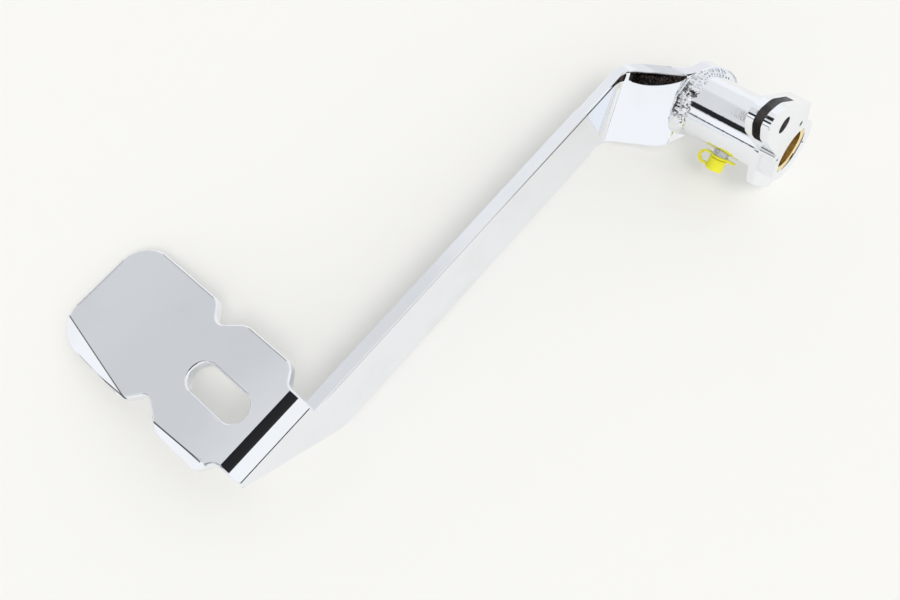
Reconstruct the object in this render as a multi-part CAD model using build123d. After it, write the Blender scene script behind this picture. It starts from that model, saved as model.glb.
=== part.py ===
# Motorcycle rear brake pedal: a folded and joggled plate (arm and pad in one),
# a pivot tube through the eye at the arm's end, a clevis lug on the tube's far end.
# Frame: origin on the pivot axis at the middle of the tube. +X runs along the arm
# towards the pad, +Y along the pivot axis towards the lug, +Z is the pad's tread side.
# Sizes are in millimetres.
from build123d import *

import math
import os

os.makedirs("parts", exist_ok=True)

# Pivot tube and its two bushings
TUBE_OUTER_D = 31.75
TUBE_LENGTH = 57.8
TUBE_STAND = 1.5
TUBE_WALL = 4.775
TUBE_EDGE = 0.7
BUSHING_WALL = 1.575
BUSHING_LENGTH = 20.0
BUSHING_RECESS = 1.4
BUSHING_EDGE = 0.5

# Plate that makes the arm, the fold and the pad
PLATE_T = 6.0
ARM_WIDTH = 33.8
PLATE_EDGE = 1.3
EYE_WALL = 3.625
JOGGLE_SHIFT = 35.0
JOGGLE_ANGLE = 64.0
JOGGLE_X = 25.6
JOGGLE_SLANT = 0.66
BEND_IN_NEAR_ARM = 10.0
BEND_IN_NEAR_EYE = 8.0
FOLD_INNER_R = 4.2

# Pad
PAD_CENTRE_X = 260.5
PAD_WIDTH = 62.0
PAD_REACH = 129.5
PAD_CORNER_R = 16.0
WAIST_FROM_ARM = 63.0
WAIST_DEPTH = 9.4
WAIST_R = 4.5
WAIST_RUN_OUTER = 8.5
WAIST_RUN_INNER = 16.0
SHOULDER_R = 12.0
NECK_INSET = 8.5
NECK_FROM_ARM = 12.6
NECK_RUN = 6.0
NECK_R = 4.0
SLOT_WIDTH = 15.0
SLOT_LENGTH = 37.0
SLOT_FROM_ARM = 36.4
TAPER_RUN = 49.0
TAPER_R = 18.0

# Clevis lug
CHEEK_OUTER_T = 5.5
KERF_WIDTH = 4.2
CHEEK_INNER_T = 6.8
KERF_R = 16.0
KERF_X = 14.6
KERF_Z = 44.6
PIN_HOLE_D = 8.0
PIN_X = 14.5
PIN_Z = 36.2
LUG_REAR_X = -9.4
LUG_REAR_Z = 26.1
LUG_CROWN_X = 14.5
LUG_CROWN_Z = 49.0
LUG_CROWN_R = 16.0
LUG_NOSE_X = 29.5
LUG_NOSE_Z = 54.0
LUG_NOSE_R = 5.0
LUG_CHEST_X = 27.3
LUG_CHEST_Z = 38.0
LUG_CHEST_R = 14.0
LUG_FOOT_BACK = 2.875
LUG_FOOT_DOWN = 7.875
FOOT_R = 2.6
COLLAR_WALL = 2.0
TAB_TIP_X = -4.0
TAB_TIP_Z = -42.0
TAB_TIP_WIDTH = 9.0
TAB_TIP_R = 4.0
TAB_HIP_Z = -14.0
TAB_HIP_R = 9.0
LUG_EDGE = 0.7
DIMPLE_D = 2.4
DIMPLE_DEPTH = 1.5
DIMPLE_X = -2.8
DIMPLE_Z = 18.0

# Weld bead between the arm's eye and the tube
WELD_SHY_OF_RIM = 0.425
WELD_WIDTH = 2.6

# Grease nipple and its cap, placed along the nipple's own axis
NIPPLE_Y = -0.9
NIPPLE_ANGLE = 44.0
SPOT_D = 9.4
SPOT_DEPTH = 0.7
NIPPLE_SHANK_D = 6.0
HEX_ACROSS = 7.0
HEX_HEIGHT = 3.0
NECK_D = 4.8
NECK_HEIGHT = 2.1
HEAD_D = 6.5
HEAD_HEIGHT = 3.2
HEAD_TIP_D = 3.6
MOUTH_D = 1.6
MOUTH_DEPTH = 0.8
CHAMBER_D = 2.6
CHAMBER_DEPTH = 5.6
BALL_D = 2.2
SPRING_WIRE_D = 0.3
SPRING_D = 2.2
SPRING_TURNS = 4
CAP_D = 8.9
CAP_HEIGHT = 6.2
CAP_EDGE = 0.7
CAP_CLEAR = 0.15
RING_D = 9.0
RING_T = 1.1
RING_GAP = 0.35
STRAP_WIDTH = 2.6
STRAP_T = 1.0
STRAP_REACH = 10.2
TAB_REACH = 8.6

# Derived positions
TUBE_R = TUBE_OUTER_D / 2
HALF_TUBE = TUBE_LENGTH / 2
BUSHING_OUTER_D = TUBE_OUTER_D - 2 * TUBE_WALL
BUSHING_INNER_D = BUSHING_OUTER_D - 2 * BUSHING_WALL
EYE_D = TUBE_OUTER_D + 2 * EYE_WALL
WELD_LEG = EYE_WALL - WELD_SHY_OF_RIM
EYE_OUTER_Y = TUBE_STAND - HALF_TUBE
EYE_INNER_Y = EYE_OUTER_Y + PLATE_T
ARM_Y = EYE_INNER_Y - JOGGLE_SHIFT
HALF_ARM = ARM_WIDTH / 2
FOLD_OUTER_R = FOLD_INNER_R + PLATE_T
FOLD_Y = ARM_Y - FOLD_OUTER_R
PAD_TOP_Z = HALF_ARM + FOLD_OUTER_R
PAD_REAR_X = PAD_CENTRE_X - PAD_WIDTH / 2
PAD_FRONT_X = PAD_CENTRE_X + PAD_WIDTH / 2
LUG_OUTER_Y = HALF_TUBE
KERF_OUTER_Y = LUG_OUTER_Y - CHEEK_OUTER_T
KERF_INNER_Y = KERF_OUTER_Y - KERF_WIDTH
LUG_INNER_Y = KERF_INNER_Y - CHEEK_INNER_T
LUG_FOOT_X = TUBE_R - LUG_FOOT_BACK
LUG_FOOT_Z = TUBE_R - LUG_FOOT_DOWN
NECK_REAR_X = PAD_REAR_X + NECK_INSET
NECK_FRONT_X = PAD_FRONT_X - NECK_INSET


def oblique(face, lean, height):
    """The face pushed up by height, leaning back along X by lean for each unit."""
    length = height * math.hypot(lean, 1)
    return extrude(face, amount=length, dir=Vector(-lean, 0, 1))


def prism_y(points, y_low, y_high):
    """A solid with this outline in X and Z, between two planes across Y."""
    face = make_face(Polyline(*[(x, y_low, z) for x, z in points], close=True))
    return extrude(face, amount=y_high - y_low, dir=Vector(0, 1, 0))


def rod_y(radius, y_low, y_high, x=0.0, z=0.0):
    """A round bar along Y."""
    start = Plane(origin=(x, y_low, z), x_dir=(1, 0, 0), z_dir=(0, 1, 0))
    return extrude(start * Circle(radius), amount=y_high - y_low)


def rounded_face(corners):
    """A flat face through these corners, each given as x, y and its own radius."""
    face = make_face(Polyline(*[(x, y) for x, y, _ in corners], close=True))
    for x, y, radius in corners:
        if radius:
            vertex = face.vertices().sort_by_distance(Vector(x, y, 0))[0]
            face = fillet(vertex, radius)
    return face


def joggle():
    """The stretch of plate that steps from the arm's plane to the eye's plane."""
    angle = math.radians(JOGGLE_ANGLE)
    run = JOGGLE_SHIFT / math.tan(angle)
    skew = PLATE_T * math.tan(angle / 2)
    x_near_arm = JOGGLE_X
    x_near_eye = JOGGLE_X - run
    x_front = JOGGLE_X + EYE_D
    x_back = -EYE_D
    corners = [
        (x_front, ARM_Y, 0),
        (x_near_arm, ARM_Y, BEND_IN_NEAR_ARM),
        (x_near_eye, EYE_INNER_Y, BEND_IN_NEAR_EYE + PLATE_T),
        (x_back, EYE_INNER_Y, 0),
        (x_back, EYE_OUTER_Y, 0),
        (x_near_eye - skew, EYE_OUTER_Y, BEND_IN_NEAR_EYE),
        (x_near_arm - skew, ARM_Y - PLATE_T, BEND_IN_NEAR_ARM + PLATE_T),
        (x_front, ARM_Y - PLATE_T, 0),
    ]
    start = Pos(JOGGLE_SLANT * HALF_ARM, 0, -HALF_ARM) * rounded_face(corners)
    strip = oblique(start, JOGGLE_SLANT, ARM_WIDTH)
    rims = strip.edges().group_by(Axis.Z)
    long_edges = (rims[0] + rims[-1]).filter_by(Axis.Y, reverse=True)
    strip = fillet(long_edges, PLATE_EDGE)
    eye = rod_y(EYE_D / 2, EYE_OUTER_Y, EYE_INNER_Y)
    eye = fillet(eye.edges().filter_by(GeomType.CIRCLE), PLATE_EDGE)
    behind = Pos(-EYE_D, (EYE_OUTER_Y + EYE_INNER_Y) / 2, 0) * Box(
        2 * EYE_D, 4 * PLATE_T, 2 * ARM_WIDTH
    )
    return strip - (behind - rod_y(EYE_D / 2 - PLATE_EDGE, ARM_Y, HALF_TUBE)) + eye


def arm_bar():
    """The straight bar on edge, its front end cut away up to the fold."""
    x_start = JOGGLE_X + EYE_D - JOGGLE_SLANT * ARM_WIDTH
    points = [
        (x_start, -HALF_ARM),
        (NECK_FRONT_X - TAPER_RUN, -HALF_ARM),
        (NECK_FRONT_X, HALF_ARM),
        (x_start, HALF_ARM),
    ]
    bar = prism_y(points, ARM_Y - PLATE_T, ARM_Y)
    knee = bar.edges().filter_by(Axis.Y).sort_by_distance(
        Vector(NECK_FRONT_X - TAPER_RUN, ARM_Y, -HALF_ARM)
    )[0]
    return fillet(knee, TAPER_R)


def flat_pad():
    """The pad's flat part: waisted on both sides, with a round-ended slot."""
    far_y = ARM_Y - PAD_REACH
    waist_y = ARM_Y - WAIST_FROM_ARM
    neck_y = ARM_Y - NECK_FROM_ARM
    half = PAD_WIDTH / 2
    side = [
        (half - NECK_INSET, FOLD_Y, 0),
        (half - NECK_INSET, neck_y, NECK_R),
        (half, neck_y - NECK_RUN, NECK_R),
        (half, waist_y + WAIST_RUN_INNER, SHOULDER_R),
        (half - WAIST_DEPTH, waist_y, WAIST_R),
        (half, waist_y - WAIST_RUN_OUTER, WAIST_R),
        (half, far_y, PAD_CORNER_R),
    ]
    front = [(PAD_CENTRE_X + dx, y, radius) for dx, y, radius in side]
    rear = [(PAD_CENTRE_X - dx, y, radius) for dx, y, radius in reversed(side)]
    slot = Pos(PAD_CENTRE_X, ARM_Y - SLOT_FROM_ARM, 0) * Rot(0, 0, 90) * SlotOverall(
        SLOT_LENGTH, SLOT_WIDTH
    )
    plate = Pos(0, 0, PAD_TOP_Z - PLATE_T) * extrude(
        rounded_face(front + rear) - slot, amount=PLATE_T
    )
    rims = plate.edges().group_by(Axis.Z)
    return fillet((rims[0] + rims[-1]).sort_by(Axis.Y)[:-2], PLATE_EDGE)


def fold():
    """The quarter turn that joins the pad to the arm's top edge."""
    width = NECK_FRONT_X - NECK_REAR_X
    start = Plane(origin=(NECK_REAR_X, FOLD_Y, HALF_ARM), x_dir=(0, 1, 0), z_dir=(1, 0, 0))
    turn = extrude(start * (Circle(FOLD_OUTER_R) - Circle(FOLD_INNER_R)), amount=width)
    turn = fillet(turn.edges().filter_by(GeomType.CIRCLE), PLATE_EDGE)
    quarter = Pos(PAD_CENTRE_X, FOLD_Y + FOLD_OUTER_R, HALF_ARM + FOLD_OUTER_R) * Box(
        2 * width, 2 * FOLD_OUTER_R, 2 * FOLD_OUTER_R
    )
    return turn & quarter


def pedal_arm():
    """Arm, joggle, eye, fold and pad: one bent plate."""
    plate = joggle() + arm_bar() + fold() + flat_pad()
    plate = plate - rod_y(TUBE_R, -HALF_TUBE, HALF_TUBE)
    return plate - rod_y(BUSHING_OUTER_D / 2, ARM_Y, HALF_TUBE)


def pivot_tube():
    """The tube, with the grease nipple's spot face and threaded hole in its wall."""
    tube = rod_y(TUBE_R, -HALF_TUBE, HALF_TUBE) - rod_y(
        BUSHING_OUTER_D / 2, -HALF_TUBE, HALF_TUBE
    )
    mouths = tube.edges().filter_by(GeomType.CIRCLE).group_by(SortBy.RADIUS)[0]
    tube = chamfer(mouths, TUBE_EDGE)
    spot = along_nipple(Pos(0, 0, TUBE_R - SPOT_DEPTH) * disc(SPOT_D, TUBE_R))
    return tube - spot - along_nipple(disc(NIPPLE_SHANK_D, TUBE_R))


def disc(diameter, height):
    """A round bar standing on the origin along Z."""
    return extrude(Circle(diameter / 2), amount=height)


def along_nipple(shape):
    """Something built along Z, put where the nipple points out of the tube."""
    return Pos(0, NIPPLE_Y, 0) * Rot(0, 90 + NIPPLE_ANGLE, 0) * shape


def bushing(y_low):
    """One plain bushing, its bore's mouths eased."""
    ring = rod_y(BUSHING_OUTER_D / 2, y_low, y_low + BUSHING_LENGTH) - rod_y(
        BUSHING_INNER_D / 2, y_low, y_low + BUSHING_LENGTH
    )
    mouths = ring.edges().filter_by(GeomType.CIRCLE).group_by(SortBy.RADIUS)[0]
    return chamfer(mouths, BUSHING_EDGE)


def weld_bead(plate):
    """The bead that follows the eye's face round the tube."""
    ring = rod_y(TUBE_R + WELD_LEG, ARM_Y, HALF_TUBE) - rod_y(TUBE_R, ARM_Y, HALF_TUBE)
    raised = Pos(0, WELD_WIDTH, 0) * plate
    pieces = ((raised & ring) - plate).solids()
    return pieces.sort_by(SortBy.VOLUME)[-1]


def lug_plate(face, y_low, y_high):
    """A plate of the lug from its outline in x and z, between two Y planes."""
    return Pos(0, y_high, 0) * Rot(90, 0, 0) * extrude(face, amount=y_high - y_low)


def clevis_lug():
    """Two cheeks parted by a saw kerf, the inner one carried down as a stop tab."""
    lobe = [
        (LUG_REAR_X, 0, 0),
        (LUG_REAR_X, LUG_REAR_Z, 0),
        (LUG_CROWN_X, LUG_CROWN_Z, LUG_CROWN_R),
        (LUG_NOSE_X, LUG_NOSE_Z, LUG_NOSE_R),
        (LUG_CHEST_X, LUG_CHEST_Z, LUG_CHEST_R),
        (LUG_FOOT_X, LUG_FOOT_Z, 0),
    ]
    collar_r = TUBE_R + COLLAR_WALL
    half_tip = TAB_TIP_WIDTH / 2
    tab = [
        (collar_r, 0, 0),
        (collar_r, TAB_HIP_Z, TAB_HIP_R),
        (TAB_TIP_X + half_tip, TAB_TIP_Z, TAB_TIP_R),
        (TAB_TIP_X - half_tip, TAB_TIP_Z, TAB_TIP_R),
        (-collar_r, TAB_HIP_Z, TAB_HIP_R),
        (-collar_r, 0, 0),
    ]
    lobe_face = rounded_face(lobe)
    inner_face = lobe_face + Circle(collar_r) + rounded_face(tab)
    inner = lug_plate(inner_face, LUG_INNER_Y, KERF_INNER_Y)
    rim = inner.edges().group_by(Axis.Y)[0]
    inner = fillet([edge for edge in rim if (edge @ 0.5).Z > LUG_REAR_Z / 2], LUG_EDGE)
    outer = lug_plate(lobe_face, KERF_INNER_Y, LUG_OUTER_Y)
    outer = fillet(outer.edges().group_by(Axis.Y)[-1], LUG_EDGE)
    foot = rod_y(FOOT_R, KERF_INNER_Y, LUG_OUTER_Y, LUG_FOOT_X + FOOT_R, LUG_FOOT_Z + 2 * FOOT_R)
    lug = inner + outer + foot
    lug = lug - rod_y(KERF_R, KERF_INNER_Y, KERF_OUTER_Y, KERF_X, KERF_Z)
    lug = lug - rod_y(PIN_HOLE_D / 2, LUG_INNER_Y, LUG_OUTER_Y, PIN_X, PIN_Z)
    dimple = rod_y(DIMPLE_D / 2, LUG_OUTER_Y - DIMPLE_DEPTH, LUG_OUTER_Y, DIMPLE_X, DIMPLE_Z)
    return lug - dimple - rod_y(TUBE_R, LUG_INNER_Y, LUG_OUTER_Y)


def nipple_sections():
    """Heights along the nipple: seat, hex top, head's underside and tip."""
    seat = TUBE_R - SPOT_DEPTH
    hex_top = seat + HEX_HEIGHT
    head_foot = hex_top + NECK_HEIGHT
    return seat, hex_top, head_foot, head_foot + HEAD_HEIGHT


def nipple_body():
    """Threaded shank, hexagon, neck and the head that the grease gun grips."""
    seat, hex_top, head_foot, tip = nipple_sections()
    inner_end = BUSHING_OUTER_D / 2 + CAP_CLEAR
    shank = Pos(0, 0, inner_end) * disc(NIPPLE_SHANK_D, seat - inner_end)
    hexagon = Pos(0, 0, seat) * extrude(
        RegularPolygon(HEX_ACROSS / 2, 6, major_radius=False), amount=HEX_HEIGHT
    )
    outline = Polyline(
        (0, hex_top),
        (NECK_D / 2, hex_top),
        (NECK_D / 2, head_foot),
        (HEAD_D / 2, head_foot + HEAD_HEIGHT / 3),
        (HEAD_D / 2, head_foot + HEAD_HEIGHT / 2),
        (HEAD_TIP_D / 2, tip),
        (0, tip),
        close=True,
    )
    head = revolve(make_face(Plane.XZ * outline), Axis.Z)
    step = tip - MOUTH_DEPTH
    body = shank + hexagon + head
    body = body - disc(MOUTH_D, tip) - Pos(0, 0, step - CHAMBER_DEPTH) * disc(
        CHAMBER_D, CHAMBER_DEPTH
    )
    return along_nipple(body)


def ball_height():
    """Where the ball's centre lies when it bears on the rim of the mouth."""
    step = nipple_sections()[3] - MOUTH_DEPTH
    return step - math.sqrt((BALL_D / 2) ** 2 - (MOUTH_D / 2) ** 2)


def nipple_ball():
    """The ball that the spring holds against the mouth."""
    return along_nipple(Pos(0, 0, ball_height()) * Sphere(BALL_D / 2))


def nipple_spring():
    """The coil between the chamber's floor and the ball."""
    wire_r = SPRING_WIRE_D / 2
    mean_r = (SPRING_D - SPRING_WIRE_D) / 2
    floor = nipple_sections()[3] - MOUTH_DEPTH - CHAMBER_DEPTH
    reach = BALL_D / 2 + wire_r
    top = ball_height() - math.sqrt(reach**2 - mean_r**2)
    rise = top - floor - wire_r
    coil = Helix(pitch=rise / SPRING_TURNS, height=rise, radius=mean_r)
    section = Plane(origin=coil @ 0, z_dir=coil % 0) * Circle(wire_r)
    wire = sweep(section, path=coil, is_frenet=True)
    return along_nipple(Pos(0, 0, floor + wire_r) * wire)


def grease_cap():
    """Cap, neck ring, strap and pull tab in one moulding."""
    seat, hex_top, head_foot, tip = nipple_sections()
    ring = Pos(0, 0, hex_top) * (disc(RING_D, RING_T) - disc(NECK_D + 2 * CAP_CLEAR, RING_T))
    cap_foot = hex_top + RING_T + RING_GAP
    cap = Pos(0, 0, cap_foot) * disc(CAP_D, CAP_HEIGHT)
    cap = fillet(cap.edges().filter_by(GeomType.CIRCLE), CAP_EDGE)
    cap = cap - nose_room(cap_foot, tip)
    ring_mid = hex_top + RING_T / 2
    strap_top = cap_foot + CAP_HEIGHT - STRAP_T / 2 - CAP_EDGE
    bend_r = (strap_top - ring_mid) / 2
    straight = STRAP_REACH - bend_r - STRAP_T / 2
    start_y = (RING_D - STRAP_WIDTH) / 2
    middle = (strap_top + ring_mid) / 2
    loop = Pos(0, 0, -STRAP_WIDTH / 2) * extrude(
        Circle(bend_r + STRAP_T / 2) - Circle(bend_r - STRAP_T / 2), amount=STRAP_WIDTH
    )
    far_half = Pos(-STRAP_REACH / 2, 0, 0) * Box(STRAP_REACH, 2 * STRAP_REACH, STRAP_WIDTH)
    loop = Pos(-straight, 0, 0) * (loop & far_half)
    leg = Pos(-(straight + start_y) / 2, 0, 0) * Box(straight - start_y, STRAP_T, STRAP_WIDTH)
    loop = loop + Pos(0, bend_r, 0) * leg + Pos(0, -bend_r, 0) * leg
    strap = Pos(0, 0, middle) * Rot(0, 0, 90) * Rot(90, 0, 0) * loop
    tab = Pos(0, TAB_REACH / 2, ring_mid) * Box(STRAP_WIDTH, TAB_REACH, RING_T)
    tab = tab - Pos(0, 0, hex_top) * disc(RING_D - RING_T, RING_T)
    return along_nipple(ring + cap + tab + (strap - nose_room(cap_foot, tip)))


def nose_room(cap_foot, tip):
    """The space inside the cap that the nipple's head fills."""
    return Pos(0, 0, cap_foot) * disc(HEAD_D + 2 * CAP_CLEAR, tip + CAP_CLEAR - cap_foot)


arm = pedal_arm()
outer_bushing_y = -HALF_TUBE + BUSHING_RECESS
inner_bushing_y = HALF_TUBE - BUSHING_RECESS - BUSHING_LENGTH
nodes = {
    "pedal_arm": arm,
    "pivot_tube": pivot_tube(),
    "arm_weld_bead": weld_bead(arm),
    "clevis_lug": clevis_lug(),
    "bushing_outboard": bushing(outer_bushing_y),
    "bushing_inboard": bushing(inner_bushing_y),
    "nipple_body": nipple_body(),
    "nipple_ball": nipple_ball(),
    "nipple_spring": nipple_spring(),
    "grease_cap": grease_cap(),
}
for name, solid in nodes.items():
    export_step(solid, f"parts/{name}.step")
    print(name, round(solid.volume, 1), solid.is_valid)
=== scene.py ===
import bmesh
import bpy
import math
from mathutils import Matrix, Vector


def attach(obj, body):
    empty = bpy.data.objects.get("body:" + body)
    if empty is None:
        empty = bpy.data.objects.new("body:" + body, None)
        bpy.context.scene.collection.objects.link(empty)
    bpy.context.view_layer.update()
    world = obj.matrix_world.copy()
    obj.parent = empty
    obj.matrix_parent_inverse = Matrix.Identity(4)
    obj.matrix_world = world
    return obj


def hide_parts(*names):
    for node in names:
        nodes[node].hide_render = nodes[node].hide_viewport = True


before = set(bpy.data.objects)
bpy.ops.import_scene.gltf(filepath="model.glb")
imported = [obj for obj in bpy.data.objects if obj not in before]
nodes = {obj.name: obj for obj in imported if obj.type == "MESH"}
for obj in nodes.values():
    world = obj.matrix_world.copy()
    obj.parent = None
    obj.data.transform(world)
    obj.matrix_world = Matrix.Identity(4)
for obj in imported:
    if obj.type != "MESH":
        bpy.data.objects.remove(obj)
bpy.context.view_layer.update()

# %% [markdown]
# The part is a motorcycle brake pedal: one chromed plate that is pad, fold, arm,
# joggle and eye, a pivot tube welded into the eye, a clevis lug on the tube's far
# end, two bronze bushings and a grease nipple under a yellow cap.
# The solids already hold the true sizes, so each piece here starts from them and
# adds what a drawing leaves out: the polish, the weld's ripples, the turning marks.

MM = 0.001
print("pieces in the frame:", sorted(nodes))

# %% [markdown]
# A shader is easier to read as a formula than as a web of links. One small class
# wraps a socket and gives it the usual operators, so 1 - mask adds a Math node by
# itself. Every other node comes from one method, add.


# %% Formulas for shaders
class Term:
    """A socket that adds Math nodes when it is used in an expression."""

    def __init__(self, tree, socket):
        self.tree = tree
        self.socket = socket

    def _math(self, operation, first, second=None):
        node = self.tree.new("ShaderNodeMath")
        node.operation = operation
        for place, value in enumerate((first, second)):
            if isinstance(value, Term):
                self.tree.link(value.socket, node.inputs[place])
            elif value is not None:
                node.inputs[place].default_value = value
        return Term(self.tree, node.outputs[0])

    def __add__(self, other):
        return self._math("ADD", self, other)

    __radd__ = __add__

    def __sub__(self, other):
        return self._math("SUBTRACT", self, other)

    def __rsub__(self, other):
        return self._math("SUBTRACT", other, self)

    def __mul__(self, other):
        return self._math("MULTIPLY", self, other)

    __rmul__ = __mul__

    def __truediv__(self, other):
        return self._math("DIVIDE", self, other)

    def __pow__(self, other):
        return self._math("POWER", self, other)

    def sine(self):
        return self._math("SINE", self)

    def length_with(self, other):
        return (self * self + other * other) ** 0.5

    def step_to(self, low, high):
        """0 below low, 1 above high and a smooth rise between them."""
        return self.tree.add(
            "ShaderNodeMapRange",
            {"interpolation_type": "SMOOTHSTEP"},
            {"Value": self, "From Min": low, "From Max": high},
            "Result",
        )

    def between(self, low, high, softness):
        """1 between two values and 0 outside, with soft ends."""
        rise = self.step_to(low - softness, low + softness)
        return rise * (1 - self.step_to(high - softness, high + softness))

    def above(self, other):
        """How far this is above the other value, or 0."""
        return self._math("MAXIMUM", self - other, 0.0)


class Recipe:
    """The node tree of one material or world."""

    def __init__(self, owner):
        owner.use_nodes = True
        self.nodes = owner.node_tree.nodes
        self.links = owner.node_tree.links
        self.nodes.clear()

    def new(self, kind):
        return self.nodes.new(kind)

    def link(self, source, target):
        self.links.new(source, target)

    def add(self, kind, settings, values, output):
        """A node of this kind: its settings, then its sockets, then one output."""
        node = self.new(kind)
        for name, value in settings.items():
            setattr(node, name, value)
        for name, value in values.items():
            if isinstance(value, Term):
                self.link(value.socket, node.inputs[name])
            else:
                node.inputs[name].default_value = value
        return Term(self, node.outputs[output])

    def place(self):
        """Where a point lies on the object, in metres."""
        return self.add("ShaderNodeTexCoord", {}, {}, "Object")

    def axes(self, vector):
        node = self.new("ShaderNodeSeparateXYZ")
        self.link(vector.socket, node.inputs[0])
        return [Term(self, output) for output in node.outputs]

    def noise(self, vector, scale, detail=3.0):
        return self.add(
            "ShaderNodeTexNoise", {}, {"Vector": vector, "Scale": scale, "Detail": detail}, "Fac"
        )

    def mix(self, factor, first, second):
        return self.add(
            "ShaderNodeMix",
            {"data_type": "RGBA"},
            {0: factor, 6: first, 7: second},
            2,
        )

    def bump(self, height, strength, distance, normal=None):
        values = {"Height": height, "Strength": strength, "Distance": distance}
        if normal is not None:
            values["Normal"] = normal
        return self.add("ShaderNodeBump", {}, values, "Normal")

    def surface(self, shader, kind="ShaderNodeOutputMaterial"):
        output = self.new(kind)
        self.link(shader.socket, output.inputs["Surface"])


print("formula tools ready")

# %% [markdown]
# A few of the plate's sizes, in millimetres, serve the finishes and the shapes alike.
# They are kept here once, because a dark line that is painted in a material has to lie
# on the same edge that the mesh has.

# %% Sizes
ARM_FACE_Y = -56.4
PLATE_T = 6.0
ARM_WIDTH = 33.8
EDGE = 1.3
FOLD_OUTER_R = 10.2
FOLD_Y = ARM_FACE_Y - FOLD_OUTER_R
PAD_TOP_Z = ARM_WIDTH / 2 + FOLD_OUTER_R
PAD_CENTRE_X = 260.5
PAD_HALF = 31.0
# Each bevel: inset of its inner line from the front side, distance from the arm, turn
# in plan, tilt.
PAD_BEVELS = (
    (7.5, 110.9, -8.8, 24.0),
    (3.6, 40.0, 4.0, 30.0),
)
print("pad's top face at z, mm:", PAD_TOP_Z)

# %% [markdown]
# Polished chrome has hardly a colour of its own: it shows the room. What gives it
# away is a faint waviness from the polishing wheel, a few hazy smears, and slight
# graininess where it covers a weld. So the finish is a mirror with a roughness
# that drifts a little and a very shallow bump.


# %% Chrome
BRIGHT_CHROME = (0.885, 0.905, 0.94, 1)
HAZY_CHROME = (0.85, 0.87, 0.895, 1)
POLISH = 0.035
SMEAR_SCALE = 28.0
SWELL_SCALE = 55.0
PIT_SCALE = 1600.0
PIT_DEPTH = 0.00002
PIT_ROUGHNESS = 0.05
SPECK_SCALE = 1400.0
SPECK_STRETCH = (1, 1, 0.12)
# The light and the dark tone of each painted dark mark: painted shade in the lug's recesses, then
# painted dark reflections.
RECESS_SHADE_TONES = ((0.30, 0.25, 0.21, 1), (0.10, 0.08, 0.07, 1))
DARK_REFLECTION_TONES = ((0.13, 0.10, 0.085, 1), (0.012, 0.01, 0.01, 1))


def chrome(name, wave, grain, haze, roll_off=None, painted_mask=None, dark_tones=RECESS_SHADE_TONES, dull=0.45):
    """A chrome finish; roll_off gives a height, the mask painted shade and dark reflections, from
    x, y, z in mm.
    """
    material = bpy.data.materials.new(name)
    recipe = Recipe(material)
    spot = recipe.place()
    millimetres = [axis / MM for axis in recipe.axes(spot)]
    smear = recipe.noise(spot, SMEAR_SCALE, 4.0).step_to(0.45, 0.75)
    pits = recipe.noise(spot, PIT_SCALE, 2.0)
    swell = recipe.noise(spot, SWELL_SCALE, 1.0)
    rough = POLISH + smear * haze + (pits - 0.5) * grain * PIT_ROUGHNESS
    tint = recipe.mix(smear, BRIGHT_CHROME, HAZY_CHROME)
    bent = recipe.bump(swell, 1.0, wave)
    bent = recipe.bump(pits, 1.0, PIT_DEPTH * grain, bent)
    if roll_off:
        bent = recipe.bump(roll_off(*millimetres) * MM, 1.0, 1.0, bent)
    # The mask paints dark into the tint: shade on the lug, dark reflections on the plate and the
    # weld.
    if painted_mask:
        painted_share = painted_mask(*millimetres)
        streaks = recipe.add(
            "ShaderNodeVectorMath", {"operation": "MULTIPLY"}, {0: spot, 1: SPECK_STRETCH}, "Vector"
        )
        speck = recipe.noise(streaks, SPECK_SCALE, 2.0).step_to(0.42, 0.72)
        tint = recipe.mix(painted_share, tint, recipe.mix(speck, dark_tones[1], dark_tones[0]))
        rough = rough + painted_share * dull
    shader = recipe.add(
        "ShaderNodeBsdfPrincipled",
        {},
        {"Base Color": tint, "Metallic": 1.0, "Roughness": rough, "Normal": bent},
        "BSDF",
    )
    recipe.surface(shader)
    print("finish", name)
    return material


# %% [markdown]
# Three things on the real piece come from the wheel, the saw and the torch, not from
# the drawing. The joggle's top edge is polished over in a hollow crescent, which tips
# the mirror towards the dark; that crescent, a line along the arm's top edge and a line
# at each of the pad's bevels also get painted dark reflections. The saw kerf, the pin
# hole and the small dimple get painted shade. The weld gets painted dark reflections,
# streaks between its drops. Each is a mask: a formula of the place that is 1 inside
# and 0 outside, so the mesh stays simple.

# %% Wheel-worn edge, painted shade and painted dark reflections
SLANT = 0.66
EYE_BEND_X = 12.15
ARM_BEND_X = 25.6
ARM_TOP_Z = 16.9
KERF_Y = (21.0, 25.0)
KERF_CENTRE = (14.6, 44.6, 16.1)
PIN_HOLE = (14.5, 36.2, 4.04)
DIMPLE = (-2.8, 18.0, 1.24)
EDGE_SOFTNESS = 0.3
# How deep the hollow reaches on the joggle: in the middle, less at the ends, aslant.
JOGGLE_HOLLOW = (5.6, 3.2, 1.0)
SHORT_OF_BEND = 0.8
# How deep it reaches on the arm: at the bend, and less for each mm along.
ARM_HOLLOW = (4.2, 0.3)
ARM_HOLLOW_SPAN = (1.2, 13.0)
FACE_SKIN = (0.6, 0.4)
WHEEL_BITE = 0.65


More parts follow.
